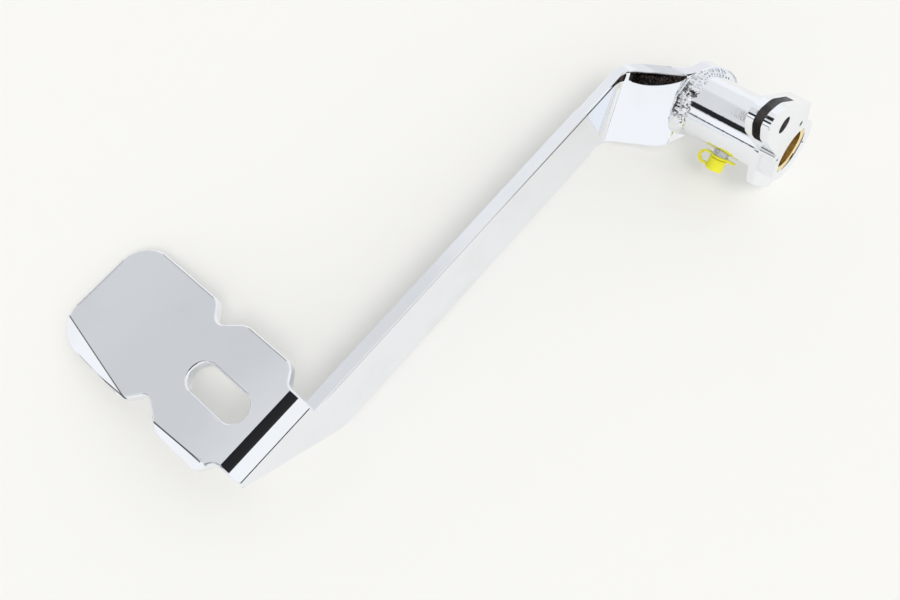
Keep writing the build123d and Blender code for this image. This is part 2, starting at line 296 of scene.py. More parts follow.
def crescent(x, y, z):
    """How far a point lies into the dark hollows below the top edge, in mm."""
    level = x + z * SLANT
    across = (level - (EYE_BEND_X + ARM_BEND_X) / 2) / ((ARM_BEND_X - EYE_BEND_X) / 2)
    on_joggle = level.between(EYE_BEND_X, ARM_BEND_X - SHORT_OF_BEND, EDGE_SOFTNESS)
    arm_from, arm_to = ARM_HOLLOW_SPAN
    on_arm = level.between(ARM_BEND_X + arm_from, ARM_BEND_X + arm_to, EDGE_SOFTNESS)
    on_arm = on_arm * y.step_to(ARM_FACE_Y - FACE_SKIN[0], ARM_FACE_Y - FACE_SKIN[1])
    middle, less_at_ends, aslant = JOGGLE_HOLLOW
    depth_joggle = middle - across * across * less_at_ends + across * aslant
    at_bend, less_along = ARM_HOLLOW
    depth_arm = at_bend - (level - ARM_BEND_X) * less_along
    hollow = z.above(ARM_TOP_Z - depth_joggle) * on_joggle
    return hollow + z.above(ARM_TOP_Z - depth_arm) * on_arm


def roll_off(x, y, z):
    """The height that the wheel took there."""
    return crescent(x, y, z) * -WHEEL_BITE


BEVEL_LINE = (-0.15, 0.45, 0.12)
BELOW_TOP = (2.5, 1.5)
LINE_STOPS = (24, 18)
LINE_DARKNESS = 0.85


def bevel_line(x, y, z, bevel):
    """A thin painted dark reflection line where the pad's face rolls over into a bevel."""
    inset, from_arm, turn, _ = bevel
    across = (x - (PAD_CENTRE_X + PAD_HALF - inset)) * math.cos(math.radians(turn))
    across = across + (y - (ARM_FACE_Y - from_arm)) * math.sin(math.radians(turn))
    on_top = z.step_to(PAD_TOP_Z - BELOW_TOP[0], PAD_TOP_Z - BELOW_TOP[1])
    near_fold = y.step_to(ARM_FACE_Y - LINE_STOPS[0], ARM_FACE_Y - LINE_STOPS[1])
    return across.between(*BEVEL_LINE) * on_top * (1 - near_fold) * LINE_DARKNESS


RIM_BRIGHT_FROM = (16.4, 16.8)
HOLLOW_DARK_FROM = (0.05, 0.4)
ARM_LINE_Z = (15.0, 16.0, 0.15)
ARM_LINE_BEHIND = 0.8
ARM_LINE_BEFORE = 0.3
ARM_LINE_SOFTNESS = 0.1
ARM_LINE_FADES = (60.0, 130.0)
ARM_LINE_LOSS = 0.7
ARM_LINE_STOPS = (225.0, 235.0)


def painted_dark_reflections(x, y, z):
    """1 where the plate gets painted dark reflections of the dark over the bench."""
    hollow = crescent(x, y, z).step_to(*HOLLOW_DARK_FROM) * (1 - z.step_to(*RIM_BRIGHT_FROM))
    line_y = (ARM_FACE_Y - ARM_LINE_BEHIND, ARM_FACE_Y + ARM_LINE_BEFORE, ARM_LINE_SOFTNESS)
    along = z.between(*ARM_LINE_Z) * y.between(*line_y)
    along = along * (1 - x.step_to(*ARM_LINE_FADES) * ARM_LINE_LOSS)
    along = along * (1 - x.step_to(*ARM_LINE_STOPS))
    clear = (1 - hollow) * (1 - along)
    for bevel in PAD_BEVELS:
        clear = clear * (1 - bevel_line(x, y, z, bevel))
    return 1 - clear


KERF_LIGHTEST = 0.45
KERF_DARKENS = (2.0, 17.0)
SAWN_EDGE = 0.06
DRILLED_EDGE = 0.02
HOLE_DARKNESS = 0.85


def inside_round(x, z, circle, softness=0.05):
    """1 inside a circle in X and Z, given as its centre and radius."""
    centre_x, centre_z, radius = circle
    distance = (x - centre_x).length_with(z - centre_z)
    return 1 - distance.step_to(radius - softness, radius + softness)


def painted_recess_shade(x, y, z):
    """1 where shade is painted: in the kerf, the pin hole and the dimple."""
    kerf = inside_round(x, z, KERF_CENTRE) * y.between(*KERF_Y, SAWN_EDGE)
    kerf = kerf * (KERF_LIGHTEST + x.step_to(*KERF_DARKENS) * (1 - KERF_LIGHTEST))
    hole = inside_round(x, z, PIN_HOLE, DRILLED_EDGE) * HOLE_DARKNESS
    dimple = inside_round(x, z, DIMPLE, DRILLED_EDGE)
    return 1 - (1 - kerf) * (1 - hole) * (1 - dimple)


WELD_REFLECTION_SCALE = 330.0
WELD_REFLECTION_SHARE = (0.47, 0.58)
WELD_REFLECTION_FRONT_X = (-3.0, 4.0)
WELD_REFLECTION_UPPER_Z = (6.0, 10.0)
WELD_REFLECTION_DARKNESS = 0.85


def painted_weld_reflections(x, y, z):
    """Painted dark reflections as streaks between the weld's drops, on its upper front quarter."""
    recipe = x.tree
    streaks = recipe.noise(recipe.place(), WELD_REFLECTION_SCALE, 2.0).step_to(*WELD_REFLECTION_SHARE)
    upper_front = z.step_to(*WELD_REFLECTION_UPPER_Z) * x.step_to(*WELD_REFLECTION_FRONT_X)
    return streaks * upper_front * WELD_REFLECTION_DARKNESS


# The plate and the weld get painted dark reflections, the lug painted shade in its recesses.
plate_chrome = chrome(
    "plate_chrome", 0.00006, 0.15, 0.05, roll_off=roll_off, painted_mask=painted_dark_reflections, dark_tones=DARK_REFLECTION_TONES, dull=0.12
)
tube_chrome = chrome("tube_chrome", 0.00003, 0.6, 0.07)
lug_chrome = chrome("lug_chrome", 0.00004, 0.25, 0.05, painted_mask=painted_recess_shade)
weld_chrome = chrome("weld_chrome", 0.0008, 0.6, 0.06, painted_mask=painted_weld_reflections, dark_tones=DARK_REFLECTION_TONES, dull=0.1)

# %% [markdown]
# The bushings are bronze turned on a lathe: warm yellow, a satin sheen, and fine
# grooves that run round the axis. The grooves are a sine of the place along the
# pivot axis, a little uneven, used as bump.


# %% Bronze
GROOVES = 9000.0
FINE_GRAIN = 0.00002


def bronze():
    """Warm turned metal with grooves round the pivot axis."""
    material = bpy.data.materials.new("turned_bronze")
    recipe = Recipe(material)
    spot = recipe.place()
    _, y, _ = recipe.axes(spot)
    stain = recipe.noise(spot, 160.0, 4.0).step_to(0.35, 0.7)
    grooves = (y * GROOVES + recipe.noise(spot, 300.0) * 3.0).sine()
    tint = recipe.mix(stain, (1.0, 0.83, 0.46, 1), (0.93, 0.70, 0.32, 1))
    shader = recipe.add(
        "ShaderNodeBsdfPrincipled",
        {},
        {
            "Base Color": tint,
            "Metallic": 1.0,
            "Roughness": 0.20 + stain * 0.10,
            "Normal": recipe.bump(grooves, 0.5, FINE_GRAIN),
        },
        "BSDF",
    )
    recipe.surface(shader)
    print("finish turned_bronze")
    return material


bushing_bronze = bronze()

# %% [markdown]
# The nipple is zinc-plated steel, greyer and duller than chrome. Its cap is yellow
# plastic from a mould: an even colour with a trace of cloudiness, a soft gloss and
# a very fine texture.


# %% Zinc and yellow plastic
def zinc():
    """Grey, clouded plating."""
    material = bpy.data.materials.new("zinc_plate")
    recipe = Recipe(material)
    spot = recipe.place()
    cloud = recipe.noise(spot, 900.0, 4.0)
    tint = recipe.mix(cloud, (0.22, 0.21, 0.20, 1), (0.78, 0.78, 0.77, 1))
    shader = recipe.add(
        "ShaderNodeBsdfPrincipled",
        {},
        {
            "Base Color": tint,
            "Metallic": 1.0,
            "Roughness": 0.22 + cloud * 0.16,
            "Normal": recipe.bump(cloud, 0.3, FINE_GRAIN),
        },
        "BSDF",
    )
    recipe.surface(shader)
    return material


def yellow_plastic():
    """Soft, evenly coloured plastic that lets a little light in."""
    material = bpy.data.materials.new("yellow_plastic")
    recipe = Recipe(material)
    spot = recipe.place()
    cloud = recipe.noise(spot, 220.0, 3.0)
    fine = recipe.noise(spot, 4000.0, 2.0)
    tint = recipe.mix(cloud, (0.98, 0.94, 0.022, 1), (0.92, 0.83, 0.014, 1))
    shader = recipe.add(
        "ShaderNodeBsdfPrincipled",
        {},
        {
            "Base Color": tint,
            "Roughness": 0.32 + cloud * 0.1,
            "Normal": recipe.bump(fine, 0.25, FINE_GRAIN),
            "Subsurface Weight": 0.15,
            "Subsurface Radius": (0.004, 0.003, 0.0005),
            "Subsurface Scale": 0.3,
            "Coat Weight": 0.2,
        },
        "BSDF",
    )
    recipe.surface(shader)
    print("finishes zinc_plate and yellow_plastic")
    return material


nipple_zinc = zinc()
cap_yellow = yellow_plastic()

# %% [markdown]
# A solid from a drawing program arrives as loose triangles, which show as facets
# in a mirror finish. A copy is merged, its flat faces are joined again, and its
# normals are made smooth except over real corners.


# %% Smooth skins
MERGE_DISTANCE = 1e-6
FLAT = math.radians(0.2)
SOLID_CORNER = 32.0


def smooth(piece, corner_degrees):
    """Smooth normals that follow the large faces, sharp over real corners."""
    piece.data.shade_smooth()
    piece.data.set_sharp_from_angle(angle=math.radians(corner_degrees))
    weighted = piece.modifiers.new("large_faces_first", "WEIGHTED_NORMAL")
    weighted.mode = "FACE_AREA"
    weighted.weight = 100
    weighted.keep_sharp = True
    bpy.context.view_layer.update()
    depsgraph = bpy.context.evaluated_depsgraph_get()
    result = bpy.data.meshes.new_from_object(piece.evaluated_get(depsgraph))
    piece.modifiers.clear()
    piece.data = result


def skin(node, material):
    """A merged and smoothed copy of a node, which then stands for it."""
    source = nodes[node]
    mesh = source.data.copy()
    mesh.name = node + "_skin"
    tool = bmesh.new()
    tool.from_mesh(mesh)
    bmesh.ops.remove_doubles(tool, verts=tool.verts, dist=MERGE_DISTANCE)
    bmesh.ops.dissolve_limit(tool, angle_limit=FLAT, verts=tool.verts, edges=tool.edges)
    tool.to_mesh(mesh)
    tool.free()
    mesh.materials.clear()
    mesh.materials.append(material)
    piece = bpy.data.objects.new(node + "_skin", mesh)
    bpy.context.collection.objects.link(piece)
    smooth(piece, SOLID_CORNER)
    piece.matrix_world = source.matrix_world
    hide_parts(node)
    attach(piece, "root")
    print(node, len(mesh.polygons), "faces")
    return piece


finishes = {
    "pedal_arm": plate_chrome,
    "pivot_tube": tube_chrome,
    "clevis_lug": lug_chrome,
    "arm_weld_bead": weld_chrome,
    "bushing_outboard": bushing_bronze,
    "bushing_inboard": bushing_bronze,
    "nipple_body": nipple_zinc,
    "nipple_ball": nipple_zinc,
    "nipple_spring": nipple_zinc,
    "grease_cap": cap_yellow,
}
skins = {node: skin(node, material) for node, material in finishes.items()}

# %% [markdown]
# The real lug's cheeks were ground down after welding: both are thinner than they
# were cut, the kerf lies nearer the front face, and the stop tab is a little shorter.
# Its vertices are moved along the pivot axis from the cut levels to the ground ones.

# %% Lug's ground cheeks
CUT_LEVELS = (12.4, 19.2, 23.4, 28.9)
GROUND_LEVELS = (17.2, *KERF_Y, 28.9)
LEVEL_SLACK = 0.01
TAB_HIP_Z = -14.0
TAB_SHARE = 0.86


def ground_level(y):
    """Where a level along the pivot axis, in mm, ends up after grinding."""
    steps = zip(CUT_LEVELS, CUT_LEVELS[1:], GROUND_LEVELS, GROUND_LEVELS[1:])
    for low, high, new_low, new_high in steps:
        if y <= high + LEVEL_SLACK:
            return new_low + (y - low) * (new_high - new_low) / (high - low)
    return y


for vertex in skins["clevis_lug"].data.vertices:
    vertex.co.y = ground_level(vertex.co.y / MM) * MM
    if vertex.co.z < TAB_HIP_Z * MM:
        vertex.co.z = (TAB_HIP_Z + (vertex.co.z / MM - TAB_HIP_Z) * TAB_SHARE) * MM
print("inner cheek's face at y, mm:", GROUND_LEVELS[0])

# %% [markdown]
# The drawn plate is exact where it is straight. Its two ends are shaped again here,
# as the grinder and the press left them: the pad with its own curve on each side,
# and the end round the tube, which isn't square to it. Both are slabs: an outline
# with rounded corners, a thickness, and an eased edge, which a filled curve gives
# by itself. The slab at the tube is then leaned over, as its bends are.

# %% Slabs
ARC_STEP = math.radians(3)
HALF_TURN_STEPS = 60


def rounded(corners):
    """Points of a closed outline; each corner is x, y and its own radius."""
    points = []
    for place, (x, y, radius) in enumerate(corners):
        here = Vector((x, y))
        if not radius:
            points.append(here)
            continue
        back = (Vector(corners[place - 1][:2]) - here).normalized()
        ahead = (Vector(corners[(place + 1) % len(corners)][:2]) - here).normalized()
        half = back.angle(ahead) / 2
        centre = here + (back + ahead).normalized() * (radius / math.sin(half))
        start = here + back * (radius / math.tan(half)) - centre
        turn = back.angle_signed(ahead)
        sweep = math.copysign(math.pi - abs(turn), turn)
        steps = max(2, round(abs(sweep) / ARC_STEP))
        for step in range(steps + 1):
            spin = Matrix.Rotation(sweep * step / steps, 2)
            points.append(centre + spin @ start)
    return points


def slab(name, outlines, thickness, edge):
    """A flat plate from closed outlines in mm: the first is the rim, the rest holes."""
    curve = bpy.data.curves.new(name, "CURVE")
    curve.dimensions = "2D"
    curve.fill_mode = "BOTH"
    curve.extrude = thickness / 2 - edge
    curve.bevel_depth = edge
    curve.bevel_resolution = 4
    curve.offset = -edge
    for outline in outlines:
        spline = curve.splines.new("POLY")
        spline.points.add(len(outline) - 1)
        for point, (x, y) in zip(spline.points, outline):
            point.co = (x, y, 0, 1)
        spline.use_cyclic_u = True
    carrier = bpy.data.objects.new(name, curve)
    bpy.context.collection.objects.link(carrier)
    depsgraph = bpy.context.evaluated_depsgraph_get()
    mesh = bpy.data.meshes.new_from_object(carrier.evaluated_get(depsgraph))
    bpy.data.objects.remove(carrier)
    mesh.name = name
    return mesh


def cut_away(mesh, place, normal, scale=1.0):
    """Drops what lies beyond a plane; place in mm, normal pointing to the waste."""
    tool = bmesh.new()
    tool.from_mesh(mesh)
    bmesh.ops.remove_doubles(tool, verts=tool.verts, dist=1e-4 * scale)
    bmesh.ops.bisect_plane(
        tool,
        geom=tool.verts[:] + tool.edges[:] + tool.faces[:],
        plane_co=Vector(place) * scale,
        plane_no=normal,
        clear_outer=True,
    )
    tool.to_mesh(mesh)
    tool.free()


def carve(mesh, cutter):
    """The mesh less the cutter."""
    pieces = []
    for name, data in (("carved", mesh), ("cutter", cutter)):
        piece = bpy.data.objects.new(name, data)
        bpy.context.collection.objects.link(piece)
        pieces.append(piece)
    body, tool = pieces
    boolean = body.modifiers.new("carve", "BOOLEAN")
    boolean.operation = "DIFFERENCE"
    boolean.object = tool
    boolean.solver = "EXACT"
    depsgraph = bpy.context.evaluated_depsgraph_get()
    result = bpy.data.meshes.new_from_object(body.evaluated_get(depsgraph))
    for piece in pieces:
        bpy.data.objects.remove(piece)
    return result


def block(outline, low, high, frame_matrix=Matrix()):
    """A closed prism on an outline in mm, from low to high along the third axis."""
    tool = bmesh.new()
    base = [tool.verts.new((x, y, low)) for x, y in outline]
    lid = [tool.verts.new((x, y, high)) for x, y in outline]
    tool.faces.new(base)
    tool.faces.new(lid)
    for place in range(len(base)):
        following = (place + 1) % len(base)
        tool.faces.new((base[place], base[following], lid[following], lid[place]))
    bmesh.ops.recalc_face_normals(tool, faces=tool.faces)
    bmesh.ops.transform(tool, matrix=frame_matrix, verts=tool.verts)
    mesh = bpy.data.meshes.new("block")
    tool.to_mesh(mesh)
    tool.free()
    return mesh


print("slab tools ready")

# %% [markdown]
# The pad's two sides aren't alike: the waist runs back to full width over 17 mm in
# front and 12.5 mm behind. Along the far wing's front edge the polishing wheel has
# taken the corner off in one long bevel. The outline is a list of corners, each with
# its own radius, and a bevel is a flat block laid across the corner and cut away. Its
# long line is then rounded a little, because a mirror shows every edge as a hard one.

# %% Pad
PAD_REACH = 129.5
PAD_FAR_R = 17.0
NECK_FROM_ARM = 12.6
NECK_INSET = 8.5
NECK_RUN = 6.0
NECK_R = (5.0, 7.0)
WAIST_FROM_ARM = 63.0
WAIST_DEPTH = 9.4
WAIST_RUN_OUTER = 8.5
WAIST_R = (4.5, 6.0)
FRONT_WAIST = (17.0, 12.0)
REAR_WAIST = (12.5, 9.0)
SLOT_FROM_ARM = 36.4
SLOT_HALF = (7.5, 18.5)
SLOT_R = 7.49
FOLD_OVERLAP = 12
WHEEL_HALF = (20, 60)
WHEEL_DEPTH = 12.0
QUARTERS = ((-1, -1), (1, -1), (1, 1), (-1, 1))


def pad_side(direction, inner_run, shoulder_r):
    """One side's corners, from the fold to the far end."""
    waist_y = ARM_FACE_Y - WAIST_FROM_ARM
    neck_y = ARM_FACE_Y - NECK_FROM_ARM
    return [
        (PAD_CENTRE_X + direction * reach, y, radius)
        for reach, y, radius in (
            (PAD_HALF - NECK_INSET, FOLD_Y + FOLD_OVERLAP, 0),
            (PAD_HALF - NECK_INSET, neck_y, NECK_R[0]),
            (PAD_HALF, neck_y - NECK_RUN, NECK_R[1]),
            (PAD_HALF, waist_y + inner_run, shoulder_r),
            (PAD_HALF - WAIST_DEPTH, waist_y, WAIST_R[0]),
            (PAD_HALF, waist_y - WAIST_RUN_OUTER, WAIST_R[1]),
            (PAD_HALF, ARM_FACE_Y - PAD_REACH, PAD_FAR_R),
        )
    ]


BEVEL_SOFTNESS = 0.9
LONG_LINE = 12.0
BEVEL_ANGLES = (15, 40)
NEARLY_TOP = 0.2
PAD_MERGE = 1e-3
PAD_FLAT = math.radians(0.5)


def soften_bevels(mesh):
    """Rounds the long lines between the pad's face and its ground bevels."""
    tool = bmesh.new()
    tool.from_mesh(mesh)
    bmesh.ops.remove_doubles(tool, verts=tool.verts, dist=PAD_MERGE)
    bmesh.ops.dissolve_limit(tool, angle_limit=PAD_FLAT, verts=tool.verts, edges=tool.edges)
    least, most = map(math.radians, BEVEL_ANGLES)
    lines = [
        edge
        for edge in tool.edges
        if edge.is_manifold
        and edge.calc_length() > LONG_LINE
        and least < edge.calc_face_angle(0.0) < most
        and min(vertex.co.z for vertex in edge.verts) > PAD_TOP_Z - NEARLY_TOP
    ]
    bmesh.ops.bevel(
        tool, geom=lines, offset=BEVEL_SOFTNESS, segments=6, profile=0.5, affect="EDGES"
    )
    tool.to_mesh(mesh)
    tool.free()
    print("softened bevel lines:", len(lines))


def pad_mesh():
    """The pad with its slot and its ground bevels, in mm, up to the fold."""
    rim = rounded(pad_side(1, *FRONT_WAIST) + pad_side(-1, *REAR_WAIST)[::-1])
    slot_y = ARM_FACE_Y - SLOT_FROM_ARM
    half_x, half_y = SLOT_HALF
    slot = rounded(
        [(PAD_CENTRE_X + dx * half_x, slot_y + dy * half_y, SLOT_R) for dx, dy in QUARTERS]
    )
    mesh = slab("pad", [rim, slot], PLATE_T, EDGE)
    mesh.transform(Matrix.Translation((0, 0, PAD_TOP_Z - PLATE_T / 2)))
    wide, long = WHEEL_HALF
    wheel_outline = [(dx * wide, dy * long) for dx, dy in QUARTERS]
    for inset, from_arm, turn, tilt in PAD_BEVELS:
        place = (PAD_CENTRE_X + PAD_HALF - inset, ARM_FACE_Y - from_arm)
        wheel = Matrix.Translation((*place, PAD_TOP_Z))
        wheel = wheel @ Matrix.Rotation(math.radians(turn), 4, "Z")
        wheel = wheel @ Matrix.Rotation(math.radians(tilt), 4, "Y")
        mesh = carve(mesh, block(wheel_outline, 0.0, WHEEL_DEPTH, wheel))
    soften_bevels(mesh)
    cut_away(mesh, (0, FOLD_Y, 0), (0, 1, 0))
    return mesh


print("pad reaches y, mm:", ARM_FACE_Y - PAD_REACH)

# %% [markdown]
# At the tube the plate steps up by 27.6 mm and then climbs on at a smaller angle.
# Seen from above it is a bent strip, so its outline is drawn in X and Y with a radius
# at each bend and pushed up by the arm's width. A shear leans the whole slab back, as
# the bends do, and the strip's end is cut round to the eye. Bores of the tube and the
# bushing go through it last.

# %% Arm's end round the tube
STEEP = math.radians(64)
TILT = math.radians(25.6)
EYE_BEND = (EYE_BEND_X, 27.6)
STRIP_X = (-40.0, 90.0)
ARM_BEND_R = (9.0, 15.0)
EYE_BEND_R = (12.0, 6.0)
CUTTER = 60
CUTTER_REACH = 80
BORE_REACH = 90
EYE_R = 19.5
TUBE_R = 15.875
BORE_R = 11.1
HUB_CUT_X = 46.0
TUBE_END_Y = -28.9


def outer_corner(x, y, before, after):
    """The corner on the plate's outboard face that matches an inner one."""
    middle = (before + after) / 2
    reach = PLATE_T / math.cos((after - before) / 2)
    return x - reach * math.sin(middle), y - reach * math.cos(middle)


def disc(radius):
    """A round outline."""
    return [
        (radius * math.cos(step * ARC_STEP), radius * math.sin(step * ARC_STEP))
        for step in range(round(2 * math.pi / ARC_STEP))
    ]


def hub_mesh():
    """The stepped and leaning end of the arm with its eye, in mm."""
    x_eye, y_eye = EYE_BEND
    x_back, x_front = STRIP_X
    y_back = y_eye + (x_eye - x_back) * math.tan(TILT)
    corners = [
        (x_front, 0.0, 0),
        (ARM_BEND_X, 0.0, ARM_BEND_R[0]),
        (x_eye, y_eye, EYE_BEND_R[0]),
        (x_back, y_back, 0),
        (*outer_corner(x_back, y_back, TILT, TILT), 0),
        (*outer_corner(x_eye, y_eye, STEEP, TILT), EYE_BEND_R[1]),
        (*outer_corner(ARM_BEND_X, 0.0, 0, STEEP), ARM_BEND_R[1]),
        (x_front, -PLATE_T, 0),
    ]
    mesh = slab("hub", [rounded(corners)], ARM_WIDTH, EDGE)
    lean = Matrix.Identity(4)
    lean[0][2] = -SLANT
    mesh.transform(Matrix.Translation((0, ARM_FACE_Y, 0)) @ lean)
    along_y = Matrix.Rotation(math.radians(90), 4, "X")
    behind = [(0, CUTTER), (-CUTTER, CUTTER), (-CUTTER, -CUTTER), (0, -CUTTER)]
    half_disc = [
        (EYE_R * math.sin(turn), EYE_R * math.cos(turn))
        for turn in (math.pi + step * ARC_STEP for step in range(HALF_TURN_STEPS + 1))
    ]
    mesh = carve(mesh, block(behind + half_disc, -CUTTER_REACH, CUTTER_REACH, along_y))
    mesh = carve(mesh, block(disc(TUBE_R), -CUTTER_REACH, -TUBE_END_Y, along_y))
    mesh = carve(mesh, block(disc(BORE_R), -CUTTER_REACH, BORE_REACH, along_y))
    cut_away(mesh, (HUB_CUT_X, 0, 0), (1, 0, 0))
    return mesh


print("arm's end starts at x, mm:", HUB_CUT_X)

# %% [markdown]
# The weld fills the hollow between the plate and the tube. Its core is a collar that
# starts on the leaning plate, wherever that is at each angle round the tube, and
# rounds off onto the tube. On top lie the welder's drops: Geometry Nodes walk a path
# along the bead and set an overlapping drop at every step, each a little different.

# %% Weld
WELD_LEG = 1.2
WELD_LEG_FRONT = 2.3
WELD_RUN = 4.2
WELD_FRONT_Y = 35.6
WELD_START_Y = 28.8
WELD_BEHIND = 2.6
# Shares of the bead's surface from the tube to the plate: where its round part ends,
# and where it has reached the plate and turns in under it.
ROUND_SHARE = 0.6
PLATE_SHARE = 0.8
TUCKED_UNDER = 1.0
SUNK_IN_PLATE = 0.8
SUNK_IN_TUBE = 0.1
# A hand-made bead is uneven: size in mm, waves round the tube and their shift.
TOE_WAVES = ((0.35, 5, 1), (0.2, 13, 0))
LEG_WAVES = ((0.2, 3, 0), (0.1, 11, 2))


def plate_y(x, z):
    """Height of the plate's inner face above the arm's face, at x and z in mm."""
    x_eye, y_eye = EYE_BEND
    level = x + SLANT * z
    if level > x_eye:
        return max(0.0, (ARM_BEND_X - level) * math.tan(STEEP))
    return y_eye + (x_eye - level) * math.tan(TILT)


def uneven(turn, waves):
    """The waves' height at this angle round the tube, in mm."""
    return sum(size * math.sin(count * turn + shift) for size, count, shift in waves)


def toe_y(turn):
    """Where the bead ends on the tube, at this angle from +X towards +Z."""
    rear = plate_y(TUBE_R * math.cos(turn), TUBE_R * math.sin(turn)) + WELD_BEHIND
    return max(rear, WELD_FRONT_Y) + uneven(turn, TOE_WAVES)


def bead_point(turn, share):
    """A point of the bead's surface: share runs from the tube, 0, to the plate, 1."""
    leg = WELD_LEG + WELD_LEG_FRONT * math.cos(turn) ** 2
    leg += uneven(turn, LEG_WAVES)
    lean = min(share / ROUND_SHARE, 1.0) * math.pi / 2
    radius = TUBE_R - SUNK_IN_TUBE + leg * math.sin(lean)
    y = toe_y(turn) - WELD_RUN * (1 - math.cos(lean))
    if share > ROUND_SHARE:
        plate = plate_y(radius * math.cos(turn), radius * math.sin(turn)) - SUNK_IN_PLATE
        way = (share - ROUND_SHARE) / (PLATE_SHARE - ROUND_SHARE)
        y += (max(plate, WELD_START_Y) - y) * min(way, 1.0)
    if share > PLATE_SHARE:
        radius -= (leg + TUCKED_UNDER) * (share - PLATE_SHARE) / (1 - PLATE_SHARE)
    return Vector((radius * math.cos(turn), ARM_FACE_Y + y, radius * math.sin(turn)))


def collar_mesh(around=240, across=20):
    """The bead as a closed grid round the tube, in metres."""
    tool = bmesh.new()
    rows = [
        [
            tool.verts.new(bead_point(2 * math.pi * step / around, place / across) * MM)
            for place in range(across + 1)
        ]
        for step in range(around)
    ]
    for row, following in zip(rows, rows[1:] + rows[:1]):
        for place in range(across):
            tool.faces.new((row[place], following[place], following[place + 1], row[place + 1]))
    bmesh.ops.recalc_face_normals(tool, faces=tool.faces)
    mesh = bpy.data.meshes.new("weld_collar")
    tool.to_mesh(mesh)
    tool.free()
    return mesh


print("bead's toe over the arm's face, mm:", round(toe_y(0.0), 1), "to", round(toe_y(math.pi), 1))

# %% [markdown]
# A welder sets drop after drop, so the bead's top is a row of overlapping scales. Three
# paths are drawn on the collar, as vertices joined by edges. Geometry Nodes turn a path
# to a curve, set points on it at an even spacing and put a flattened ball on each, with
# a size drawn from a fixed seed. The result is realized and becomes a plain mesh.

# %% Drops along a path
DROP_R = 1.9
DROP_SPACING = 1.7
DROP_SUNK = 1.35
LEAN_TO_PLATE = 0.35
DROP_LEAST = (0.8, 0.8, 0.3)
DROP_MOST = (1.1, 1.15, 0.7)
# Each path: first and last angle round the tube in degrees, and its share of the bead.
DROP_PATHS = ((24, 168, 0.16), (10, 160, 0.4), (16, 130, 0.62))


def sunk(turn, share):
    """A point under the bead's surface, where a drop has its middle."""
    point = bead_point(turn, share)
    inward = Vector((math.cos(turn), LEAN_TO_PLATE, math.sin(turn))) * DROP_SUNK
    return (point - inward) * MM


def path_mesh(first, last, share, steps=80):
    """Joined points along the bead, from the first to the last angle in degrees."""
    points = [
        sunk(math.radians(first + (last - first) * i / steps), share) for i in range(steps + 1)
    ]
    mesh = bpy.data.meshes.new("weld_path")
    mesh.from_pydata(points, [(i, i + 1) for i in range(steps)], [])
    return mesh


def drops_tree():
    """Path in, overlapping drops out."""
    tree = bpy.data.node_groups.new("weld_drops", "GeometryNodeTree")
    sockets = {}
    for name, kind in (
        ("Geometry", "NodeSocketGeometry"),
        ("Spacing", "NodeSocketFloat"),
        ("Drop Radius", "NodeSocketFloat"),
        ("Seed", "NodeSocketInt"),
        ("Material", "NodeSocketMaterial"),
    ):
        sockets[name] = tree.interface.new_socket(name, in_out="INPUT", socket_type=kind)
    tree.interface.new_socket("Geometry", in_out="OUTPUT", socket_type="NodeSocketGeometry")
    start = tree.nodes.new("NodeGroupInput")
    path = tree.nodes.new("GeometryNodeMeshToCurve")
    points = tree.nodes.new("GeometryNodeCurveToPoints")
    points.mode = "LENGTH"
    drop = tree.nodes.new("GeometryNodeMeshIcoSphere")
    drop.inputs["Subdivisions"].default_value = 3
    vary = tree.nodes.new("FunctionNodeRandomValue")
    vary.data_type = "FLOAT_VECTOR"
    vary.inputs["Min"].default_value = DROP_LEAST
    vary.inputs["Max"].default_value = DROP_MOST
    place = tree.nodes.new("GeometryNodeInstanceOnPoints")
    real = tree.nodes.new("GeometryNodeRealizeInstances")
    coat = tree.nodes.new("GeometryNodeSetMaterial")
    end = tree.nodes.new("NodeGroupOutput")
    for source, target in (
        (start.outputs["Geometry"], path.inputs["Mesh"]),
        (path.outputs["Curve"], points.inputs["Curve"]),
        (start.outputs["Spacing"], points.inputs["Length"]),
        (start.outputs["Drop Radius"], drop.inputs["Radius"]),
        (start.outputs["Seed"], vary.inputs["Seed"]),
        (points.outputs["Points"], place.inputs["Points"]),
        (points.outputs["Rotation"], place.inputs["Rotation"]),
        (drop.outputs["Mesh"], place.inputs["Instance"]),
        (vary.outputs["Value"], place.inputs["Scale"]),
        (place.outputs["Instances"], real.inputs["Geometry"]),
        (real.outputs["Geometry"], coat.inputs["Geometry"]),
        (start.outputs["Material"], coat.inputs["Material"]),
        (coat.outputs["Geometry"], end.inputs["Geometry"]),
    ):
        tree.links.new(source, target)
    return tree, sockets


def drops(tree, sockets, path, values):
    """The plain mesh that the tree makes along this path."""
    carrier = bpy.data.objects.new("drops", path)
    bpy.context.collection.objects.link(carrier)
    walk = carrier.modifiers.new("drops", "NODES")
    walk.node_group = tree
    for name, value in values.items():
        walk[sockets[name].identifier] = value
    bpy.context.view_layer.update()
    depsgraph = bpy.context.evaluated_depsgraph_get()
    mesh = bpy.data.meshes.new_from_object(carrier.evaluated_get(depsgraph))
    bpy.data.objects.remove(carrier)
    return mesh


def weld(piece):
    """Collar and drops in the place of the drawn bead."""
    tree, sockets = drops_tree()
    tool = bmesh.new()
    tool.from_mesh(collar_mesh())
    for seed, path in enumerate(DROP_PATHS):
        values = {
            "Spacing": DROP_SPACING * MM,
            "Drop Radius": DROP_R * MM,
            "Seed": seed,
            "Material": weld_chrome,
        }
        tool.from_mesh(drops(tree, sockets, path_mesh(*path), values))
    tool.to_mesh(piece.data)
    tool.free()
    piece.data.materials.clear()
    piece.data.materials.append(weld_chrome)
    piece.data.shade_smooth()
    print("weld", len(piece.data.polygons), "faces")


weld(skins["arm_weld_bead"])

